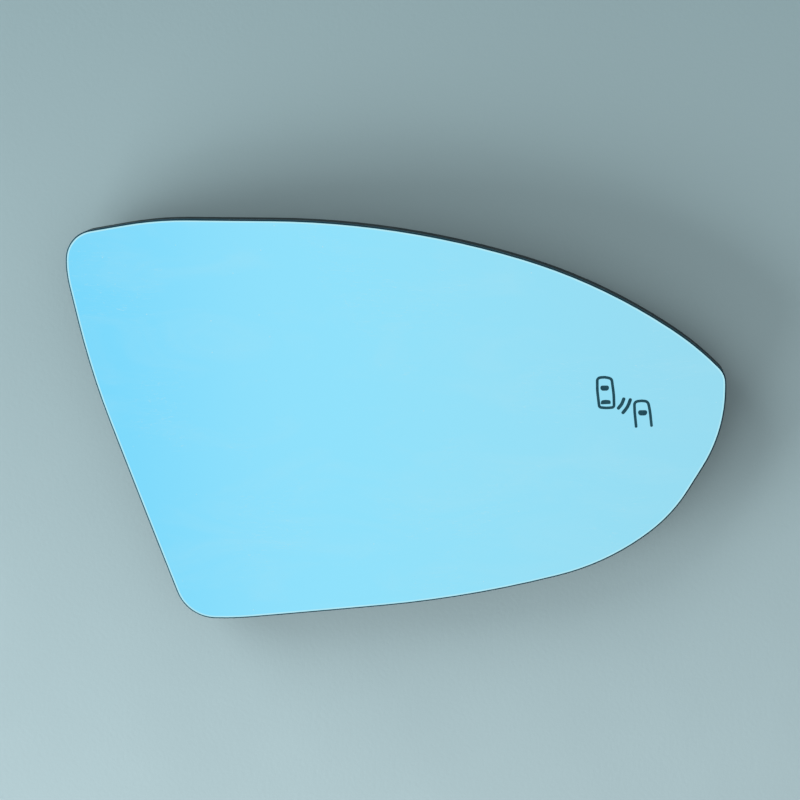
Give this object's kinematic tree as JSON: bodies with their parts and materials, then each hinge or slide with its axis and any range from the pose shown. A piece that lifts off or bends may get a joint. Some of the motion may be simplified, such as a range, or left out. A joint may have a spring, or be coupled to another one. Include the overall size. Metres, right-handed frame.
{
  "type": "heated car door mirror glass",
  "caption": "Convex blue-tinted door mirror glass with a warning pictogram, heater film and lamp on a moulded backing plate with a snap-fit clip ring.",
  "frame": {"origin": "on the axis of the clip ring, at the foot of the ring", "axes": "+Z out of the reflecting face, +X to the outer tip of the glass, +Y up on the car"},
  "size_m": [0.176, 0.1085, 0.0175],
  "materials": {
    "mirror_glass": "blue-tinted first-surface look, ground edge",
    "clear_adhesive": "clear adhesive film",
    "heater_film": "amber plastic film",
    "heater_foil": "etched foil",
    "tinned_brass": "tin-plated, slightly dull",
    "foam": "closed-cell foam",
    "plate_plastic": "moulded, fine grain",
    "diffuser_plastic": "milky",
    "lamp_plastic": "moulded, satin",
    "board": "green solder mask",
    "led_package": "white package",
    "chip": "ceramic chip",
    "gold_pin": "flash-plated",
    "screw_steel": "zinc-plated"
  },
  "bodies": {
    "root": {"mirror_glass": "mirror_glass", "bonding_film": "clear_adhesive", "heater_film": "heater_film", "heater_track": "heater_foil", "heater_terminal_1": "tinned_brass", "heater_terminal_2": "tinned_brass", "foam_pad": "foam", "backing_plate": "plate_plastic", "lamp_gasket": "foam", "lamp_diffuser": "diffuser_plastic", "lamp_housing": "lamp_plastic", "lamp_cover": "lamp_plastic", "lamp_board": "board", "lamp_led_1": "led_package", "lamp_led_2": "led_package", "lamp_resistor_1": "chip", "lamp_resistor_2": "chip", "lamp_pin_1": "gold_pin", "lamp_pin_2": "gold_pin", "lamp_screws": "screw_steel"}
  },
  "joints": []
}
